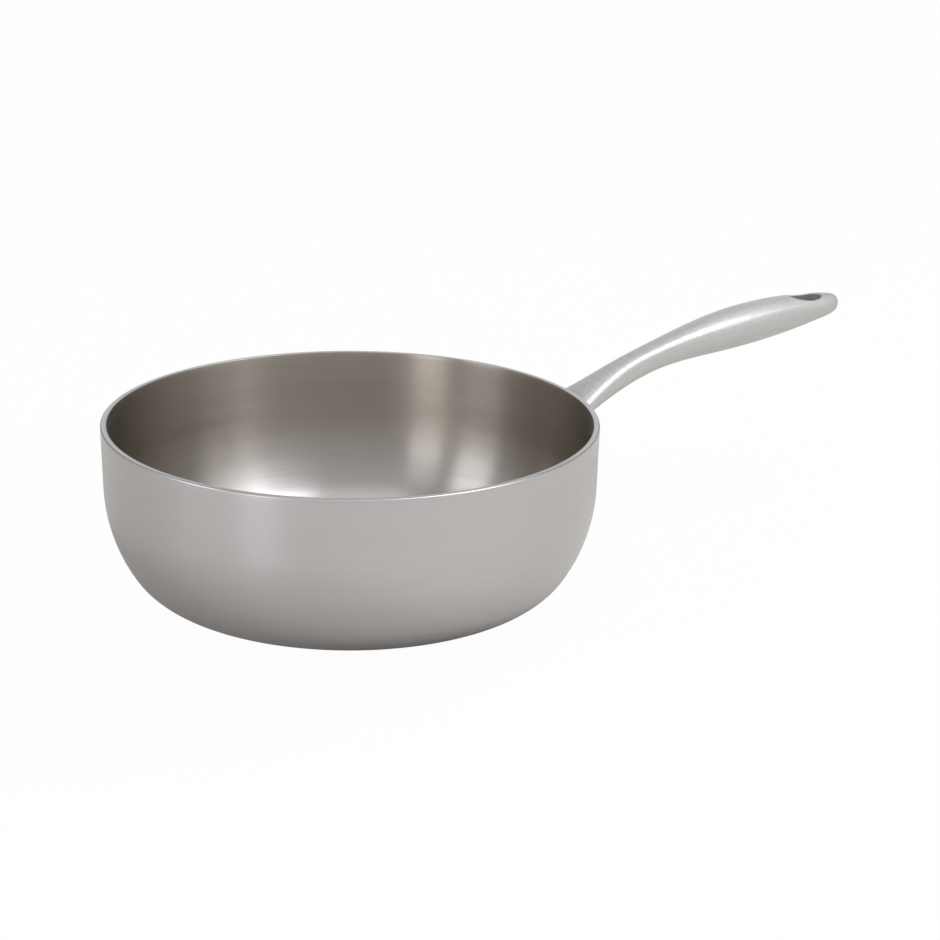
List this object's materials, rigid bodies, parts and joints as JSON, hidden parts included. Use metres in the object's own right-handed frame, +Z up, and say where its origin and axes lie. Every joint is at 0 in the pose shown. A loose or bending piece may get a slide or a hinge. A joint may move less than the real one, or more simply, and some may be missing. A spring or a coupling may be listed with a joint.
{
  "type": "deep saute pan",
  "caption": "Deep round saute pan of clad stainless steel with a rounded heel, a flat base and a long hollow handle that ends in an oval hanging eye.",
  "frame": {"origin": "middle of the flat underside, on the pan's axis", "axes": "+Z up along the pan's axis, +X along the handle from the pan to its tip"},
  "size_m": [0.4372, 0.24, 0.1055],
  "materials": {
    "cooking_surface": "circular satin brushing",
    "core": "sheared edge",
    "outer_skin": "circular satin brushing",
    "handle": "fine satin polish",
    "bracket": "pressed, as rolled",
    "weld": "ground and polished"
  },
  "bodies": {
    "root": {"inner_ply": "cooking_surface", "core_ply": "core", "outer_ply": "outer_skin", "handle_upper_shell": "handle", "handle_lower_shell": "handle", "hanging_eye_sleeve": "handle", "root_bracket": "bracket", "root_weld": "weld"}
  },
  "joints": []
}
